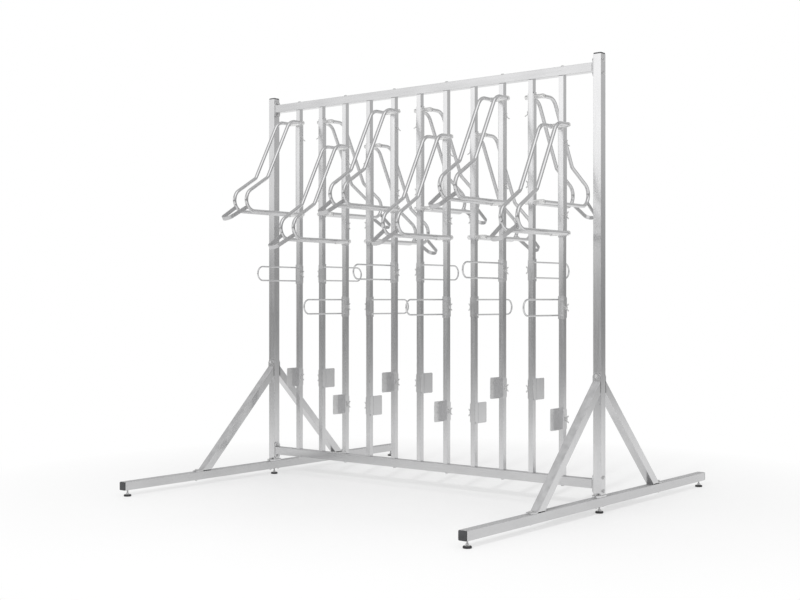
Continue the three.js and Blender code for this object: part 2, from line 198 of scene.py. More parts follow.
def moved(shape, offset=(0, 0, 0), axes=None):
    """The shape with its points p taken to p @ axes + offset: the rows of axes are the new axes."""
    points = shape[0] if axes is None else shape[0] @ np.array(axes, float)
    return points + np.array(offset, float), shape[1]


def circle(radius, sides):
    turn = np.linspace(0, 2 * np.pi, sides, endpoint=False)
    return radius * np.stack([np.cos(turn), np.sin(turn)], 1)


def rounded_rect(width, height, radius, steps=4):
    """A rectangle whose corners are quarter circles: corner centre + radius (cos t, sin t). A point
    just before and after each corner holds the flat sides flat in smooth shading."""
    turn = np.linspace(0, np.pi / 2, steps + 1)
    quarter = radius * np.stack([np.cos(turn), np.sin(turn)], 1)
    if min(width, height) > 2 * radius + 4 * HOLD:
        quarter = np.concatenate([[(radius, -HOLD)], quarter, [(-HOLD, radius)]])
    out = []
    for k, (sx, sy) in enumerate(((1, 1), (-1, 1), (-1, -1), (1, -1))):
        c, s = math.cos(k * math.pi / 2), math.sin(k * math.pi / 2)
        turned = quarter @ np.array([[c, s], [-s, c]])
        out.append(turned + [sx * (width / 2 - radius), sy * (height / 2 - radius)])
    return np.concatenate(out)


def stadium(width, length):
    """An oblong with half-circle ends, long along its second axis."""
    return rounded_rect(width, length, width / 2 - 0.01, 14)


def edge_normals(edges):
    """Each edge turned a quarter to the left, at length one."""
    lengths = np.maximum(np.linalg.norm(edges, axis=1), TINY)
    return np.stack([-edges[:, 1], edges[:, 0]], 1) / lengths[:, None]


def inset(outline, by):
    """The convex outline moved inwards along the mean of its two edge normals, by a constant
    distance. The limit of 0.3 keeps sharp corners from running away."""
    ahead = edge_normals(np.roll(outline, -1, 0) - outline)
    behind = edge_normals(outline - np.roll(outline, 1, 0))
    mean = ahead + behind
    mean /= np.maximum((mean * mean).sum(1) / 2, 0.3)[:, None]
    return outline + by * mean


def prism(outline, low, high, bevel=0.6):
    """The outline pushed from z = low to z = high, with its rims chamfered by the bevel."""
    levels = ((low, bevel), (low + bevel, 0), (high - bevel, 0), (high, bevel))
    rings = [np.column_stack([inset(outline, by), np.full(len(outline), z)]) for z, by in levels]
    return loft(rings)


def lathe(profile, sides=28):
    """The profile's points (r, z) turned about the Z axis: (r cos t, r sin t, z)."""
    turn = circle(1.0, sides)
    rings = [np.column_stack([r * turn, np.full(sides, z)]) for r, z in profile]
    return loft(rings)


def bent_path(corners, radii, step=math.radians(7)):
    """Straight runs between corners, with an arc of the given radius at each inner corner."""
    corners = np.asarray(corners, float)
    first, last = corners[1] - corners[0], corners[-1] - corners[-2]
    points, tangents = [corners[0]], [first / np.linalg.norm(first)]
    for k, radius in enumerate(radii, 1):
        a = corners[k] - corners[k - 1]
        b = corners[k + 1] - corners[k]
        a, b = a / np.linalg.norm(a), b / np.linalg.norm(b)
        angle = math.acos(max(-1.0, min(1.0, a @ b)))
        axis = np.cross(a, b) / np.linalg.norm(np.cross(a, b))
        inward = np.cross(axis, a)
        start = corners[k] - a * radius * math.tan(angle / 2)
        turn = np.linspace(0, angle, max(2, math.ceil(angle / step) + 1))[:, None]
        centre = start + radius * inward
        points.extend(centre - radius * inward * np.cos(turn) + radius * a * np.sin(turn))
        tangents.extend(a * np.cos(turn) + inward * np.sin(turn))
    points.append(corners[-1])
    tangents.append(last / np.linalg.norm(last))
    return np.array(points), np.array(tangents)


def sweep(points, tangents, side, profile):
    """The profile (u, v) carried along the path as point + u N + v B, where the frame N, B turns
    as little as it can."""
    normal = np.array(side, float)
    normals = []
    for tangent in tangents:
        normal = normal - (normal @ tangent) * tangent
        normal /= np.linalg.norm(normal)
        normals.append(normal)
    normals = np.array(normals)
    across = np.cross(tangents, normals)
    u, v = profile[None, :, :1], profile[None, :, 1:]
    return loft(points[:, None] + u * normals[:, None] + v * across[:, None])


def straight(start, end, side, profile, cuts=(None, None)):
    """The profile carried from start to end. Each end may be cut by a plane (point, normal)."""
    start, end = np.array(start, float), np.array(end, float)
    tangent = (end - start) / np.linalg.norm(end - start)
    points, _ = sweep(np.array([start, end]), np.array([tangent, tangent]), side, profile)
    rings = points.reshape(2, -1, 3)
    for k, cut in enumerate(cuts):
        if cut is not None:
            point, normal = np.array(cut[0], float), np.array(cut[1], float)
            reach = ((point - rings[k]) @ normal) / (tangent @ normal)
            rings[k] = rings[k] + reach[:, None] * tangent
    return loft(rings)


# Axes for moved(), named after the way that local z points
X_UP = ((0, 1, 0), (0, 0, 1), (1, 0, 0))
MINUS_X = ((0, -1, 0), (0, 0, 1), (-1, 0, 0))
Y_UP = ((-1, 0, 0), (0, 0, 1), (0, 1, 0))
MINUS_Y = ((1, 0, 0), (0, 0, 1), (0, -1, 0))
Z_UP = ((1, 0, 0), (0, 1, 0), (0, 0, 1))
Z_DOWN = ((1, 0, 0), (0, -1, 0), (0, 0, -1))
MIRROR_Y = ((1, 0, 0), (0, -1, 0), (0, 0, 1))


def hexagon(across):
    turn = np.arange(6) * np.pi / 3 + np.pi / 6
    return across / math.sqrt(3) * np.stack([np.cos(turn), np.sin(turn)], 1)


def bolt(at, axes):
    """A chamfered hexagon head with a low crown, on a washer. Local z points away from the face."""
    head = prism(hexagon(ACROSS), HEAD_LOW, HEAD_HIGH, HEXAGON_BEVEL)
    return [moved(shape, at, axes) for shape in (lathe(BOLT_WASHER), head, lathe(BOLT_CROWN))]


def nut(at, axes, height):
    """A hexagon nut with the rounded end of its bolt showing."""
    tip = lathe([(STUD, 0.0), (STUD, height + 1.6), (STUD - 0.8, height + 2.4)])
    body = prism(hexagon(ACROSS), -SUNK, height, HEXAGON_BEVEL)
    return [moved(shape, at, axes) for shape in (body, tip)]


def weld(start, end, radius, seed=0):
    """A bead along a line: a circle whose radius ripples with the place along it and tapers at the
    ends. The seed shifts the ripple."""
    start, end = np.array(start, float), np.array(end, float)
    length = np.linalg.norm(end - start)
    rows = max(6, int(length / BEAD_STEP))
    share = np.linspace(0, 1, rows)
    tangent = (end - start) / length
    side = np.cross(tangent, BESIDE)
    side /= np.linalg.norm(side)
    taper = np.sqrt(np.clip(1 - (2 * share - 1) ** BEAD_BLUNT, 0.02, 1))
    size = radius * taper * (1 + BEAD_RIPPLE * np.sin(share * length * BEAD_WAVE + seed))
    ring = circle(1.0, 10)
    centre = start + share[:, None] * (end - start)
    across = np.cross(tangent, side)
    spokes = ring[None, :, :1] * side + ring[None, :, 1:] * across
    return loft(centre[:, None] + size[:, None, None] * spokes)


def square_welds(centre, axis):
    """Four beads round a square tube where it meets a plate, each a little short of the corners.
    The axis, 0 to 2, is the plate's normal."""
    u, v = [a for a in range(3) if a != axis]
    beads = []
    for k, (out, along) in enumerate(((u, v), (v, u))):
        for sign in (-1, 1):
            start, end = np.array(centre, float), np.array(centre, float)
            start[out] += sign * HALF
            end[out] += sign * HALF
            start[along] -= HALF - 2
            end[along] += HALF - 2
            beads.append(weld(start, end, TUBE_BEAD, seed=3 * k + sign))
    return beads


# Pieces of the object

def piece(name, shapes, material, body, nodes, slot, turned=False, x=0.0):
    """One mesh from several closed shapes, in metres, in the place that the CAD gives it. Turned
    pieces face the back."""
    vertices, faces, start = [], [], 0
    for points, quads in shapes:
        vertices.append(points)
        faces.extend([[start + k for k in face] for face in quads])
        start += len(points)
    points = np.concatenate(vertices)
    if turned:
        points = points * [-1, -1, 1]
    points = (points + [x, 0, 0]) * MM
    mesh = bpy.data.meshes.new(name)
    mesh.from_pydata(points.tolist(), [], faces)
    work = bmesh.new()
    work.from_mesh(mesh)
    bmesh.ops.recalc_face_normals(work, faces=work.faces)
    work.to_mesh(mesh)
    work.free()
    mesh.polygons.foreach_set("use_smooth", np.ones(len(mesh.polygons), bool))
    mesh.set_sharp_from_angle(angle=SHARP)
    obj = bpy.data.objects.new(name, mesh)
    bpy.context.scene.collection.objects.link(obj)
    obj.data.materials.append(material)
    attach(obj, body)
    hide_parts(*nodes)


def fixed(node, tag, shapes, material, **place):
    """A piece of the steel rack that doesn't move."""
    piece(f"{node}_{tag}", shapes, material, "rack", [node], "steel", **place)


# Materials

class Nodes:
    """A short way to add and link shader nodes."""

    def __init__(self, name):
        self.material = bpy.data.materials.new(name)
        self.material.use_nodes = True
        self.tree = self.material.node_tree
        self.shader = next(n for n in self.tree.nodes if n.type == "BSDF_PRINCIPLED")
        self.place = self.tree.nodes.new("ShaderNodeTexCoord").outputs["Object"]

    def link(self, source, target):
        self.tree.links.new(source, target)

    def stretched(self, scale):
        node = self.tree.nodes.new("ShaderNodeMapping")
        node.inputs["Scale"].default_value = scale
        self.link(self.place, node.inputs["Vector"])
        return node.outputs["Vector"]

    def noise(self, scale, detail=3.0, rough=0.5, vector=None):
        node = self.tree.nodes.new("ShaderNodeTexNoise")
        node.inputs["Scale"].default_value = scale
        node.inputs["Detail"].default_value = detail
        node.inputs["Roughness"].default_value = rough
        self.link(vector or self.place, node.inputs["Vector"])
        return node.outputs["Fac"]

    def cells(self, scale):
        node = self.tree.nodes.new("ShaderNodeTexVoronoi")
        node.inputs["Scale"].default_value = scale
        self.link(self.place, node.inputs["Vector"])
        return node.outputs["Color"]

    def span(self, value, low, high, start=0.3, stop=0.7):
        node = self.tree.nodes.new("ShaderNodeMapRange")
        node.inputs["From Min"].default_value = start
        node.inputs["From Max"].default_value = stop
        node.inputs["To Min"].default_value = low
        node.inputs["To Max"].default_value = high
        self.link(value, node.inputs["Value"])
        return node.outputs["Result"]

    def ramp(self, value, low, high, start=0.3, stop=0.7):
        node = self.tree.nodes.new("ShaderNodeValToRGB")
        node.color_ramp.elements[0].position = start
        node.color_ramp.elements[1].position = stop
        node.color_ramp.elements[0].color = (*low, 1)
        node.color_ramp.elements[1].color = (*high, 1)
        self.link(value, node.inputs["Fac"])
        return node.outputs["Color"]

    def mix(self, share, first, second):
        node = self.tree.nodes.new("ShaderNodeMix")
        node.data_type = "RGBA"
        if isinstance(share, float):
            node.inputs["Factor"].default_value = share
        else:
            self.link(share, node.inputs["Factor"])
        self.link(first, node.inputs["A"])
        self.link(second, node.inputs["B"])
        return node.outputs["Result"]

    def combine(self, first, second, operation="ADD"):
        """Two values added, or multiplied or subtracted where the operation says so."""
        node = self.tree.nodes.new("ShaderNodeMath")
        node.operation = operation
        for value, socket in zip((first, second), node.inputs):
            if isinstance(value, float):
                socket.default_value = value
            else:
                self.link(value, socket)
        return node.outputs["Value"]

    def blend(self, share, first, second):
        node = self.tree.nodes.new("ShaderNodeMixShader")
        for value, socket in zip((share, first, second), node.inputs):
            self.link(value, socket)
        return node.outputs["Shader"]

    def bump(self, height, strength, distance):
        node = self.tree.nodes.new("ShaderNodeBump")
        node.inputs["Strength"].default_value = strength
        node.inputs["Distance"].default_value = distance
        self.link(height, node.inputs["Height"])
        self.link(node.outputs["Normal"], self.shader.inputs["Normal"])


# Scales of the patterns in zinc and in its painted shade, in cycles per metre
CLOUD, SPANGLE, STREAK, GRAIN, SHADE_MOTTLE, PORES = 5.0, 260.0, 70.0, 300.0, 30.0, 520.0
# Shares of the spangle in the colour, and of dullness in the metal and in the roughness
SPANGLE_SHARE, DULL_METAL, DULL_ROUGH = 0.35, 0.9, 0.4
# Normal heights where painted shade and dullness begin on an upper face, and where they are full
SHADE_AND_DULL_FROM, SHADE_AND_DULL_FULL = 0.35, 0.72
BUMP_DEPTH = 0.0003


def zinc(name, dark, light, smooth, rough, grain=(1.0, 1.0, 1.0)):
    """Bright zinc on steel: a fine even grain, a faint spangle, drawn streaks along the tube, soft
    clouding."""
    n = Nodes(name)
    n.shader.inputs["Metallic"].default_value = 1.0
    color, streak = zinc_color(n, dark, light, grain)
    n.link(color, n.shader.inputs["Base Color"])
    n.link(zinc_roughness(n, streak, smooth, rough), n.shader.inputs["Roughness"])
    return n.material


def zinc_color(n, dark, light, grain):
    """The zinc's colour and its streaks, with a bump of both scales."""
    cloud = n.ramp(n.noise(CLOUD), dark, light)
    spangle = n.ramp(n.cells(SPANGLE), tuple(0.93 * c for c in light), light, 0.0, 1.0)
    streak = n.noise(STREAK, 3.0, 0.6, n.stretched(grain))
    n.bump(n.combine(streak, n.noise(PORES, 2.0)), 0.02, BUMP_DEPTH)
    return n.mix(SPANGLE_SHARE, cloud, spangle), streak


def zinc_roughness(n, streak, smooth, rough):
    """From smooth to rough with the sum of the streaks and a fine grain."""
    return n.span(n.combine(streak, n.noise(GRAIN)), smooth, rough, 0.7, 1.3)


def dulled_and_shaded_zinc(name, dark, light, smooth, rough, grain):
    """Zinc with painted shade and dullness on upper faces, rising with the normal's height."""
    n = Nodes(name)
    color, streak = zinc_color(n, dark, light, grain)
    parts = n.tree.nodes.new("ShaderNodeSeparateXYZ")
    n.link(n.tree.nodes.new("ShaderNodeNewGeometry").outputs["Normal"], parts.inputs[0])
    # Upper faces are painted darker as shade, mottled by noise, and also made rougher and less
    # metallic
    upper = n.span(parts.outputs["Z"], 0.0, 1.0, SHADE_AND_DULL_FROM, SHADE_AND_DULL_FULL)
    shade_and_dull = n.combine(upper, n.span(streak, 0.82, 1.0), "MULTIPLY")
    shade_color = n.ramp(n.noise(SHADE_MOTTLE, 4.0, 0.6, n.stretched(grain)), PAINTED_SHADE_DARK, PAINTED_SHADE_LIGHT)
    n.link(n.mix(shade_and_dull, color, shade_color), n.shader.inputs["Base Color"])
    metal = n.combine(1.0, n.combine(shade_and_dull, DULL_METAL, "MULTIPLY"), "SUBTRACT")
    n.link(metal, n.shader.inputs["Metallic"])
    shine = zinc_roughness(n, streak, smooth, rough)
    shine = n.combine(shine, n.combine(shade_and_dull, DULL_ROUGH, "MULTIPLY"))
    n.link(shine, n.shader.inputs["Roughness"])
    return n.material


def plastic(name, dark, light, rough):
    """Moulded plastic: fine orange peel, small changes of shade and of sheen."""
    n = Nodes(name)
    n.link(n.ramp(n.noise(38.0, 4.0), dark, light), n.shader.inputs["Base Color"])
    n.link(n.span(n.noise(90.0), rough - 0.06, rough + 0.1), n.shader.inputs["Roughness"])
    n.bump(n.noise(900.0, 2.0), 0.15, BUMP_DEPTH)
    return n.material


STEEL_DARK, STEEL_LIGHT = (0.63, 0.63, 0.635), (0.69, 0.69, 0.695)
RAIL_DARK, RAIL_LIGHT = (0.56, 0.56, 0.565), (0.62, 0.62, 0.625)
SHEET_DARK, SHEET_LIGHT = (0.67, 0.67, 0.675), (0.73, 0.73, 0.735)
# The darker colours painted on upper faces as shade
PAINTED_SHADE_DARK, PAINTED_SHADE_LIGHT = (0.33, 0.33, 0.335), (0.47, 0.47, 0.475)
ALONG_X, ALONG_Y, ALONG_Z = (0.06, 1.0, 1.0), (1.0, 0.06, 1.0), (1.0, 1.0, 0.06)
steel_x = dulled_and_shaded_zinc("zinc_tube_along_rack", RAIL_DARK, RAIL_LIGHT, 0.16, 0.26, ALONG_X)
steel_y = dulled_and_shaded_zinc("zinc_tube_along_beam", RAIL_DARK, RAIL_LIGHT, 0.16, 0.26, ALONG_Y)
steel_z = dulled_and_shaded_zinc("zinc_tube_upright", STEEL_DARK, STEEL_LIGHT, 0.14, 0.22, ALONG_Z)
bright = zinc("zinc_round_tube", (0.60, 0.60, 0.605), (0.67, 0.67, 0.675), 0.10, 0.18)
satin = zinc("zinc_cross_bar", (0.82, 0.82, 0.815), (0.88, 0.88, 0.875), 0.28, 0.40)
sheet_zinc = zinc("zinc_bracket_sheet", SHEET_DARK, SHEET_LIGHT, 0.16, 0.26, ALONG_Z)
strap_zinc = zinc("zinc_strap", (0.50, 0.50, 0.505), (0.58, 0.58, 0.585), 0.28, 0.40)
hardware = zinc("zinc_bolts", (0.62, 0.62, 0.62), (0.74, 0.74, 0.74), 0.34, 0.48)
wing_zinc = zinc("zinc_wing_nuts", (0.60, 0.60, 0.60), (0.72, 0.72, 0.72), 0.32, 0.46)
weld_zinc = zinc("zinc_over_weld", (0.44, 0.44, 0.44), (0.56, 0.56, 0.56), 0.42, 0.58)
cap_plastic = plastic("cap_plastic", (0.030, 0.031, 0.033), (0.052, 0.053, 0.056), 0.42)
pad_plastic = plastic("pad_plastic", (0.012, 0.012, 0.013), (0.026, 0.026, 0.028), 0.5)

SQUARE = rounded_rect(TUBE, TUBE, TUBE_CORNER)


# Floor beams, posts, rails and braces

def beam(end, x):
    """A tube along Y with a cap in each end, nuts below, and a threaded collar over each foot."""
    node = f"beam_{end}"
    tube_end = BEAM_LENGTH / 2 - BEAM_CAP
    middle = BEAM_LOW + HALF
    tube = straight((0, -tube_end, middle), (0, tube_end, middle), (1, 0, 0), SQUARE)
    fixed(node, "tube", [tube], steel_y, x=x)
    caps, under = [], []
    for sign, axes in ((-1, MINUS_Y), (1, Y_UP)):
        outline = rounded_rect(TUBE, TUBE, CAP_CORNER, 6)
        cover = prism(outline, tube_end, BEAM_LENGTH / 2, BEAM_CAP_BEVEL)
        caps.append(moved(cover, (0, 0, middle), axes))
        for y in (PLATE_BOLT, HALF + BRACE_REACH + TOE_LUG - LUG_BOLT_INSET):
            under += nut((0, sign * y, BEAM_LOW), Z_DOWN, BEAM_NUT)
    for y in (-FEET_Y, 0, FEET_Y):
        under.append(moved(lathe(BEAM_COLLAR), (0, y, BEAM_LOW)))
    fixed(node, "caps", caps, cap_plastic, x=x)
    fixed(node, "nuts", under, hardware, x=x)


def post(end, side, x):
    """A tube on a base plate with round ends, with its cap and the bolts of its plates."""
    node = f"post_{end}"
    base = BEAM_TOP + GAP
    foot = base + BASE_PLATE[2]
    top = RACK_HEIGHT - POST_CAP
    tube = straight((0, 0, foot - POST_SUNK), (0, 0, top), (1, 0, 0), SQUARE)
    plate = prism(stadium(*BASE_PLATE[:2]), base, foot)
    fixed(node, "tube", [tube, plate], steel_z, x=x)
    outline = rounded_rect(TUBE, TUBE, CAP_CORNER, 6)
    cover = prism(outline, top - SUNK, RACK_HEIGHT, POST_CAP_BEVEL)
    fixed(node, "cap", [cover], cap_plastic, x=x)
    bolts, outwards = [], X_UP if side > 0 else MINUS_X
    for sign in (-1, 1):
        bolts += bolt((0, sign * PLATE_BOLT, foot), Z_UP)
        for level in (BOTTOM_RAIL, TOP_RAIL):
            bolts += bolt((side * HALF, 0, level + sign * PLATE_BOLT), outwards)
    fixed(node, "bolts", bolts, hardware, x=x)
    fixed(node, "welds", square_welds((0, 0, foot), 2), weld_zinc, x=x)


def upright_x(k):
    """The place of upright k, counted from 0 at the left."""
    return (k - (UPRIGHTS - 1) / 2) * PITCH


def rail(place, middle):
    """A tube along X between two end plates with their nuts, and a bolt into every second
    upright."""
    node = f"rail_{place}"
    outer = POST_X - HALF - GAP
    inner = outer - RAIL_PLATE[2]
    tube_end = inner + RAIL_SUNK
    tube = straight((-tube_end, 0, middle), (tube_end, 0, middle), (0, 1, 0), SQUARE)
    shapes, beads, fasteners = [tube], [], []
    for side, outwards, inwards in ((-1, MINUS_X, X_UP), (1, X_UP, MINUS_X)):
        plate = prism(stadium(*RAIL_PLATE[:2]), inner, outer)
        shapes.append(moved(plate, (0, 0, middle), outwards))
        beads += square_welds((side * inner, 0, middle), 0)
        for sign in (-1, 1):
            at = (side * inner, 0, middle + sign * PLATE_BOLT)
            fasteners += nut(at, inwards, RAIL_NUT)
    face, axes = (middle + HALF, Z_UP) if place == "top" else (middle - HALF, Z_DOWN)
    for k in range(0, UPRIGHTS, 2):
        fasteners += bolt((upright_x(k), 0, face), axes)
    fixed(node, "tube", shapes, steel_x)
    fixed(node, "bolts", fasteners, hardware)
    fixed(node, "welds", beads, weld_zinc)


def lug(width, root, tip):
    """A plate outline: square at its root and a half circle at its tip."""
    turn = np.linspace(0, np.pi, 20)
    radius = width / 2
    rounded = np.stack([radius * np.cos(turn), tip - radius + radius * np.sin(turn)], 1)
    return np.concatenate([[(-radius, root), (radius, root)], rounded])


def brace(end, place, x):
    """A tube from the post's face down to the beam's top, at the slope of rise to reach, cut flat
    inside a lug at each end."""
    node = f"brace_{end}_{place}"
    near, floor = HALF + GAP, BEAM_TOP + GAP
    far, high = HALF + BRACE_REACH, BEAM_TOP + BRACE_RISE
    length = math.hypot(BRACE_RISE, BRACE_REACH)
    drop, setback = TUBE * length / BRACE_REACH, TUBE * length / BRACE_RISE
    start, stop = (0, -near, high - drop / 2), (0, -far + setback / 2, floor)
    cuts = (((0, -near - SUNK, 0), (0, 1, 0)), ((0, 0, floor + SUNK), (0, 0, 1)))
    tube = straight(start, stop, (1, 0, 0), SQUARE, cuts)
    head = prism(lug(TUBE, high - drop, high + HEAD_LUG), 0, BRACE_PLATE)
    toe = prism(lug(TUBE, far - setback, far + TOE_LUG), 0, BRACE_PLATE)
    head = moved(head, (0, -near, 0), MINUS_Y)
    toe = moved(toe, (0, 0, floor), MIRROR_Y)
    at = {"turned": place == "back", "x": x}
    fixed(node, "tube", [tube, head, toe], steel_z, **at)
    bolts = bolt((0, -near - BRACE_PLATE, high + HEAD_LUG - LUG_BOLT_INSET), MINUS_Y)
    bolts += bolt((0, -far - TOE_LUG + LUG_BOLT_INSET, floor + BRACE_PLATE), Z_UP)
    fixed(node, "bolts", bolts, hardware, **at)
    corners = ((-near - BRACE_PLATE, high + 1), (-far - 1, floor + BRACE_PLATE))
    beads = [weld((-LUG_WELD_HALF, y, z), (LUG_WELD_HALF, y, z), LUG_BEAD) for y, z in corners]
    fixed(node, "welds", beads, weld_zinc, **at)


def foot(end, place, x, y):
    """A pad with a rounded rim, a cone with a hexagon, and a stem whose radius steps with its
    thread."""
    node = f"foot_{end}_{place}"
    pad = lathe(FOOT_PAD, 48)
    cone = lathe(FOOT_CONE, 40)
    collar = prism(hexagon(ACROSS), COLLAR_LOW, COLLAR_HIGH, COLLAR_BEVEL)
    turns = int((STEM_TOP - STEM_LOW) / THREAD_PITCH)
    thread = [(STEM_RADIUS - THREAD_DEPTH * (k % 2), STEM_LOW + THREAD_PITCH / 2 * k)
              for k in range(2 * turns)]
    stem = lathe([STEM_ROOT, *thread, STEM_TIP], 20)
    for tag, shapes, material in (("pad", [pad], pad_plastic),
                                  ("stem", [cone, collar, stem], hardware)):
        shapes = [moved(shape, (0, y, 0)) for shape in shapes]
        piece(f"{node}_{tag}", shapes, material, node, [node], "foot", x=x)


# Fittings on an upright, drawn facing the front with the upright's middle line at X = 0, Y = 0

def channel(low, high):
    """A folded sheet over the upright's front. Its middle line is a U in X and Y with round
    corners, and its two skins are half a sheet away from that line. Towards the end of each flange
    the lower and upper edges draw together by the chamfer."""
    m, bend = BRACKET_MID, SHEET_BEND
    turn = np.linspace(0, np.pi / 2, 6)
    flange = np.array([(-m, FLANGE_REAR), (-m, FLANGE_REAR - CHAMFER), (-m, -m + bend + HOLD)])
    corner = np.stack([-m + bend - bend * np.cos(turn), -m + bend - bend * np.sin(turn)], 1)
    left = np.concatenate([flange, corner, [(-m + bend + HOLD, -m)]])
    line = np.concatenate([left, left[::-1] * [-1, 1]])
    along = np.gradient(line, axis=0)
    along /= np.linalg.norm(along, axis=1)[:, None]
    along[[0, 1, 2]] = (0, -1)
    along[[-1, -2, -3]] = (0, 1)
    normal = np.stack([along[:, 1], -along[:, 0]], 1)
    rise = np.clip(line[:, 1] - (FLANGE_REAR - CHAMFER), 0, None)
    outer, inner = line + SHEET / 2 * normal, line - SHEET / 2 * normal
    skins = ((outer, low + rise), (outer, high - rise), (inner, high - rise), (inner, low + rise))
    return loft(np.stack([np.column_stack([skin, z]) for skin, z in skins], 1))


def wing_nut(height, turn=0.0):
    """A tapered boss with two thin blades that flare outwards. At a share of its way a blade's
    middle has a reach from the bolt and a lift from the bracket. Its section is an ellipse, which
    grows to a rounded paddle near the tip."""
    washer, boss, tip = lathe(WING_WASHER), lathe(WING_BOSS, 24), lathe(WING_BOLT_TIP, 16)
    shapes = [washer, moved(boss, (0, 0, WING_BOSS_RISE)), tip]
    rows = 16
    share = np.linspace(0, 1, rows)
    reach = WING_REACH[0] + WING_REACH[1] * share
    lift = WING_LIFT[0] + WING_LIFT[1] * share ** WING_CURVE
    past = np.clip(share - WING_PADDLE[0], 0, 1) / WING_PADDLE[1]
    ends = np.sqrt(np.clip(1 - past ** 2, 0.01, 1))
    width = (WING_WIDTH[0] + WING_WIDTH[1] * share) * ends
    thick = WING_THICK[0] + WING_THICK[1] * share
    slope = np.gradient(lift, reach)
    across = np.stack([-slope, np.ones(rows)], 1) / np.hypot(1, slope)[:, None]
    ring = circle(1.0, 16)
    side = thick[:, None] * ring[None, :, 0]
    out = reach[:, None] + across[:, :1] * width[:, None] * ring[None, :, 1]
    up = lift[:, None] + across[:, 1:] * width[:, None] * ring[None, :, 1]
    for sign in (-1, 1):
        shapes.append(loft(np.stack([side, sign * out, up], -1)))
    c, s = math.cos(turn), math.sin(turn)
    axes = np.array([(0, c, s), (0, -s, c), (1, 0, 0)])
    return [moved(shape, (BRACKET_FACE, 0, height), axes) for shape in shapes]


def holder_run(top, x):
    """The corners and bend radii of a tube run, from the upper cross bar to the nose and back."""
    bottom = top - HOLDER_HEIGHT
    reach = NOSE_RADIUS * math.tan((math.pi - NOSE_SLOPE) / 2)
    tip = NOSE_Y - NOSE_RADIUS * math.sin(NOSE_SLOPE) - reach * math.cos(NOSE_SLOPE)
    corners = [(CROSS_Y, top), (SHOULDER_Y, top), (KNEE_Y, top - KNEE_DROP), (tip, bottom),
               (CROSS_Y, bottom)]
    return [(x, y, z) for y, z in corners], [SHOULDER_RADIUS, KNEE_RADIUS, NOSE_RADIUS]


def cross_bar(z):
    """A round bar along X whose rims are quarter circles."""
    turn = np.linspace(0, np.pi / 2, 7)
    rim = CROSS_RIM * np.stack([np.cos(turn), np.sin(turn)], 1)
    end = rim + [CROSS_BAR - CROSS_RIM, CROSS_HALF - CROSS_RIM]
    profile = np.concatenate([end[::-1] * [1, -1], end])
    return moved(lathe(profile.tolist(), 36), (0, CROSS_Y, z), X_UP)


def ring_weld(x, z):
    """A bead round a run where it leaves its cross bar."""
    return moved(lathe(RING_BEAD), (x, RING_WELD_Y, z), MINUS_Y)


def strap_line(top):
    """Two legs that draw together and a round end: an arc through the legs' ends with the bulge.
    The legs' roots stand just outside the runs."""
    radius = (STRAP_WIDTH ** 2 + STRAP_BULGE ** 2) / (2 * STRAP_BULGE)
    centre = STRAP_LENGTH + STRAP_BULGE - radius
    reach = math.atan2(STRAP_WIDTH, STRAP_LENGTH - centre)
    turn = np.linspace(reach, -reach, 28)
    arc = np.stack([centre + radius * np.cos(turn), radius * np.sin(turn)], 1)
    flat = np.concatenate([[(STRAP_ROOT, STRAP_SPREAD)], arc, [(STRAP_ROOT, -STRAP_SPREAD)]])
    fall, forth = math.sin(STRAP_SLOPE), math.cos(STRAP_SLOPE)
    y = STRAP_Y - flat[:, 0] * forth
    z = top - HOLDER_HEIGHT + STRAP_RISE - flat[:, 0] * fall
    points = np.stack([flat[:, 1], y, z], 1)
    tangents = np.gradient(points, axis=0)
    tangents[0], tangents[-1] = points[1] - points[0], points[-1] - points[-2]
    tangents /= np.linalg.norm(tangents, axis=1)[:, None]
    return points, tangents, (0, -fall, forth)


def wheel_holder(label, top, **place):
    """Two bent runs between two cross bars, a strap round the nose, a bracket and two wing nuts."""
    node = f"wheel_holder_{label}"
    bottom = top - HOLDER_HEIGHT
    runs = []
    for x in (-HOLDER_SIDE, HOLDER_SIDE):
        points, tangents = bent_path(*holder_run(top, x))
        runs.append(sweep(points, tangents, (1, 0, 0), circle(HOLDER_TUBE, 28)))
    fixed(node, "runs", runs, bright, **place)
    fixed(node, "cross_bars", [cross_bar(top), cross_bar(bottom)], satin, **place)
    strap = sweep(*strap_line(top), rounded_rect(*STRAP_SECTION, 3))
    fixed(node, "strap", [strap], strap_zinc, **place)
    bracket = channel(bottom - BRACKET_PAST_BAR, top + BRACKET_PAST_BAR)
    fixed(node, "bracket", [bracket], sheet_zinc, **place)
    nuts = wing_nut(top - UPPER_NUT, UPPER_NUT_TURN) + wing_nut(bottom + LOWER_NUT)
    fixed(node, "wing_nuts", nuts, wing_zinc, **place)
    beads = []
    for bar in (top, bottom):
        for sign in (-1, 1):
            y, z = -BRACKET_FACE - BAR_WELD_SUNK, bar + sign * BAR_WELD_OFF
            start, end = (-BAR_WELD_HALF, y, z), (BAR_WELD_HALF, y, z)
            beads.append(weld(start, end, HOLDER_BEAD, seed=sign))
            beads.append(ring_weld(sign * HOLDER_SIDE, bar))
    for sign in (-1, 1):
        for edge in (-1, 1):
            x = sign * (HOLDER_SIDE + STRAP_WELD_OFF * edge)
            start, end = [(x, y, bottom + rise) for y, rise in STRAP_WELD]
            beads.append(weld(start, end, HOLDER_BEAD, seed=edge))
    fixed(node, "welds", beads, weld_zinc, **place)


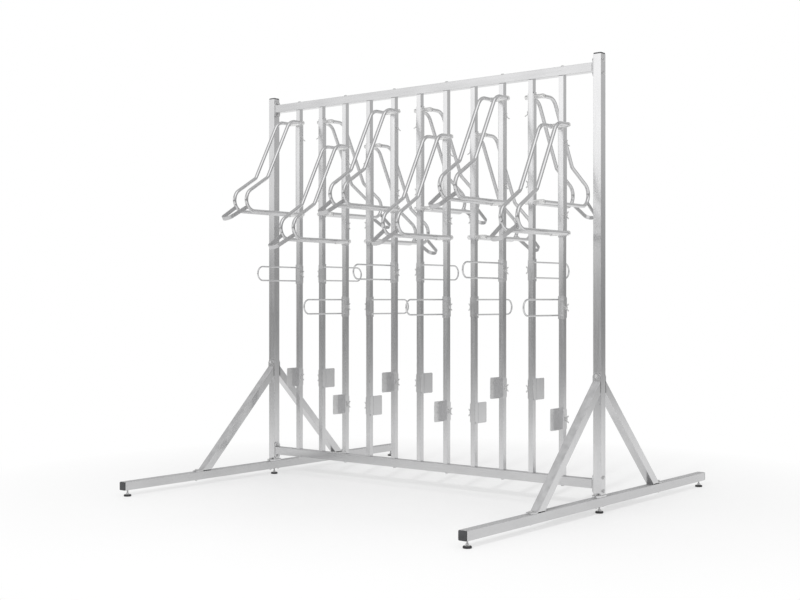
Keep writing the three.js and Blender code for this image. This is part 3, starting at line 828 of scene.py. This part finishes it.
def locking_loop(label, centre, **place):
    """A bent rod welded to the side of its bracket, with a wing nut on the other side."""
    node = f"locking_loop_{label}"
    x = -(BRACKET_FACE + ROD - ROD_SUNK)
    tip = -LOOP_REACH + ROD
    high, low = centre + LOOP_HALF, centre - LOOP_HALF
    corners = [(x, FLANGE_REAR, high), (x, tip, high), (x, tip, low), (x, FLANGE_REAR, low)]
    points, tangents = bent_path(corners, [LOOP_HALF - 0.01] * 2, step=math.radians(6))
    rod = sweep(points, tangents, (1, 0, 0), circle(ROD, 20))
    fixed(node, "rod", [rod], bright, **place)
    bracket = channel(centre - LOOP_BRACKET_HALF, centre + LOOP_BRACKET_HALF)
    fixed(node, "bracket", [bracket], sheet_zinc, **place)
    fixed(node, "wing_nut", wing_nut(centre), wing_zinc, **place)
    beads = []
    x = -BRACKET_FACE - LOOP_WELD_SUNK
    for sign in (-1, 1):
        for edge in (-1, 1):
            z = centre + sign * LOOP_HALF + edge * LOOP_WELD_OFF
            start, end = [(x, y, z) for y in LOOP_WELD]
            beads.append(weld(start, end, LOOP_BEAD, seed=edge))
    fixed(node, "welds", beads, weld_zinc, **place)


def guide_plate(label, centre, **place):
    """A bracket with a wing nut. One flange goes on forwards as a plate with cut front corners."""
    node = f"guide_plate_{label}"
    low, high, cut = centre - PLATE_HALF, centre + PLATE_HALF, PLATE_CHAMFER
    outline = np.array([(PLATE_FRONT, low + cut), (PLATE_FRONT + cut, low), (PLATE_BACK, low),
                        (PLATE_BACK, high), (PLATE_FRONT + cut, high), (PLATE_FRONT, high - cut)])
    plate = prism(outline, -SHEET / 2, SHEET / 2, PLATE_BEVEL)
    plate = moved(plate, (-BRACKET_MID, 0, 0), X_UP)
    fixed(node, "sheet", [channel(low, high), plate], sheet_zinc, **place)
    fixed(node, "wing_nut", wing_nut(centre), wing_zinc, **place)


def upright(label, **place):
    low, high = BOTTOM_RAIL + HALF + GAP, TOP_RAIL - HALF - GAP
    section = rounded_rect(UPRIGHT, UPRIGHT, UPRIGHT_CORNER)
    tube = straight((0, 0, low), (0, 0, high), (1, 0, 0), section)
    fixed(f"upright_{label}", "tube", [tube], steel_z, **place)


for end, side in (("left", -1), ("right", 1)):
    x = side * POST_X
    beam(end, x)
    post(end, side, x)
    for place in ("front", "back"):
        brace(end, place, x)
    for place, y in (("front", -FEET_Y), ("middle", 0.0), ("back", FEET_Y)):
        foot(end, place, x, y)
rail("top", TOP_RAIL)
rail("bottom", BOTTOM_RAIL)

# Odd uprights face the front and even ones the back, and pairs of fittings hang high and low in
# turn.
for k in range(UPRIGHTS):
    label = f"{k + 1:02d}"
    low = (k // 2) % 2
    place = {"turned": k % 2 == 1, "x": upright_x(k)}
    upright(label, **place)
    wheel_holder(label, HOLDER_TOP - low * HOLDER_TIER, **place)
    locking_loop(label, LOOP_CENTRE - low * LOOP_TIER, **place)
    guide_plate(label, PLATE_CENTRE - low * PLATE_TIER, **place)


# Camera, floor and light. The camera is level, and a fit to the photo gave its place and lens.

camera = bpy.data.objects.new("camera", bpy.data.cameras.new("camera"))
bpy.context.scene.collection.objects.link(camera)
camera.location = (3.7968, -4.8895, 0.9493)
camera.rotation_euler = (math.radians(90), 0, math.radians(38.756))
camera.data.lens = 56.15
camera.data.sensor_width = 36.0
bpy.context.scene.camera = camera


# The studio: white BEHIND the rack, bright in FRONT of it, grey elsewhere, with a pale SOFTBOX.
# Each is a direction and the two cosines between which it fades in.
BEHIND = (-0.626, 0.780, 0.0), 0.82, 0.925
FRONT = (-0.4, -0.917, 0.0), 0.82, 1.0
SOFTBOX = (0.62, -0.35, 0.70), 0.80, 0.97
WHITE, SOFTBOX_GREY = 1.0, 1.45

# Brightness over the height of a direction, from SKY_LOW to SKY_HIGH
SKY_LOW, SKY_HIGH = -0.1, 0.8
FRONT_SKY = ((-0.1, 0.80), (-0.08, 0.76), (-0.058, 0.24), (0.018, 0.24), (0.05, 0.98),
             (0.08, 1.38), (0.15, 1.46), (0.4, 1.2), (0.8, 0.8))
OTHER_SKY = ((-0.1, 0.98), (-0.086, 0.92), (-0.06, 0.30), (0.0, 0.32), (0.122, 0.62),
             (0.19, 0.67), (0.4, 0.66), (0.8, 0.64))

# The floor's distances from its middle, in metres: its rim, where its glow begins and is full, and
# where it begins to clear and is gone
FLOOR_RADIUS, FLOOR_SIDES = 4.0, 96
GLOW_FROM, GLOW_FULL = 0.8, 2.5
CLEAR_FROM, CLEAR_FULL = 2.5, 3.6


def graded(tree, value, stops):
    """A grey ramp over the given (height, brightness) stops."""
    ramp = tree.nodes.new("ShaderNodeValToRGB")
    places = [(height - SKY_LOW) / (SKY_HIGH - SKY_LOW) for height, _ in stops]
    while len(ramp.color_ramp.elements) < len(stops):
        ramp.color_ramp.elements.new(1.0)
    for element, place, (_, grey) in zip(ramp.color_ramp.elements, places, stops):
        element.position = place
        element.color = (grey, grey, grey, 1)
    tree.links.new(value, ramp.inputs["Fac"])
    return ramp.outputs["Color"]


def facing(n, aim, low, high):
    """0 to 1, smoothly, as the direction turns towards the aim from cosine low to cosine high."""
    unit = n.tree.nodes.new("ShaderNodeVectorMath")
    unit.operation = "NORMALIZE"
    n.link(n.place, unit.inputs[0])
    dot = n.tree.nodes.new("ShaderNodeVectorMath")
    dot.operation = "DOT_PRODUCT"
    dot.inputs[1].default_value = aim
    n.link(unit.outputs["Vector"], dot.inputs[0])
    span = n.tree.nodes.new("ShaderNodeMapRange")
    span.interpolation_type = "SMOOTHSTEP"
    span.inputs["From Min"].default_value = low
    span.inputs["From Max"].default_value = high
    n.link(dot.outputs["Value"], span.inputs["Value"])
    return span.outputs["Result"]


def plain(n, grey):
    color = n.tree.nodes.new("ShaderNodeRGB").outputs["Color"]
    color.default_value = (grey, grey, grey, 1)
    return color


def stage_floor():
    """A pale disc of floor. Away from the rack its paint turns into a white glow, which then clears
    towards the rim and shows the sky."""
    rim = circle(FLOOR_RADIUS, FLOOR_SIDES)
    mesh = bpy.data.meshes.new("floor")
    mesh.from_pydata([(x, y, 0.0) for x, y in rim.tolist()], [], [list(range(FLOOR_SIDES))])
    obj = bpy.data.objects.new("floor", mesh)
    bpy.context.scene.collection.objects.link(obj)
    n = Nodes("floor_paint")
    n.shader.inputs["Roughness"].default_value = 0.6
    n.shader.inputs["Specular IOR Level"].default_value = 0.2
    pale = n.ramp(n.noise(1.2), (0.90, 0.90, 0.90), (0.92, 0.92, 0.92))
    n.link(pale, n.shader.inputs["Base Color"])
    length = n.tree.nodes.new("ShaderNodeVectorMath")
    length.operation = "LENGTH"
    n.link(n.place, length.inputs[0])
    glowing = n.span(length.outputs["Value"], 0.35, 1.0, GLOW_FROM, GLOW_FULL)
    solid = n.span(length.outputs["Value"], 1.0, 0.0, CLEAR_FROM, CLEAR_FULL)
    glow = n.tree.nodes.new("ShaderNodeEmission")
    clear = n.tree.nodes.new("ShaderNodeBsdfTransparent")
    paint = n.blend(glowing, n.shader.outputs["BSDF"], glow.outputs["Emission"])
    surface = n.blend(solid, clear.outputs["BSDF"], paint)
    out = next(node for node in n.tree.nodes if node.type == "OUTPUT_MATERIAL")
    n.link(surface, out.inputs["Surface"])
    obj.data.materials.append(n.material)


class Sky(Nodes):
    """The same helpers on the world's own nodes."""

    def __init__(self, name):
        self.world = bpy.data.worlds.new(name)
        self.world.use_nodes = True
        self.tree = self.world.node_tree
        self.shader = next(n for n in self.tree.nodes if n.type == "BACKGROUND")
        self.place = self.tree.nodes.new("ShaderNodeTexCoord").outputs["Generated"]


def sky():
    """Bright below the horizon, like a far floor, dark at it and pale above, each side in its own
    measure. Behind the rack it is white at every height."""
    n = Sky("studio")
    bpy.context.scene.world = n.world
    parts = n.tree.nodes.new("ShaderNodeSeparateXYZ")
    n.link(n.place, parts.inputs[0])
    height = n.span(parts.outputs["Z"], 0.0, 1.0, SKY_LOW, SKY_HIGH)
    front, other = graded(n.tree, height, FRONT_SKY), graded(n.tree, height, OTHER_SKY)
    around = n.mix(facing(n, *FRONT), other, front)
    around = n.mix(facing(n, *SOFTBOX), around, plain(n, SOFTBOX_GREY))
    around = n.mix(facing(n, *BEHIND), around, plain(n, WHITE))
    n.link(around, n.shader.inputs["Color"])
    n.shader.inputs["Strength"].default_value = 1.0


def lamp(name, place, aim, size, power):
    """A square lamp turned towards its aim. The metal doesn't mirror it, as in the photo."""
    light = bpy.data.lights.new(name, "AREA")
    light.size = size
    light.energy = power
    obj = bpy.data.objects.new(name, light)
    bpy.context.scene.collection.objects.link(obj)
    obj.location = place
    obj.visible_glossy = False
    way = np.array(aim, float) - np.array(place, float)
    pitch = math.atan2(math.hypot(way[0], way[1]), -way[2])
    obj.rotation_euler = (pitch, 0, math.atan2(way[1], way[0]) - math.pi / 2)


stage_floor()
sky()
lamp("key", place=(2.1, -5.8, 3.3), aim=(0, 0, 0.5), size=0.35, power=170)

bpy.context.scene.view_settings.view_transform = "Standard"
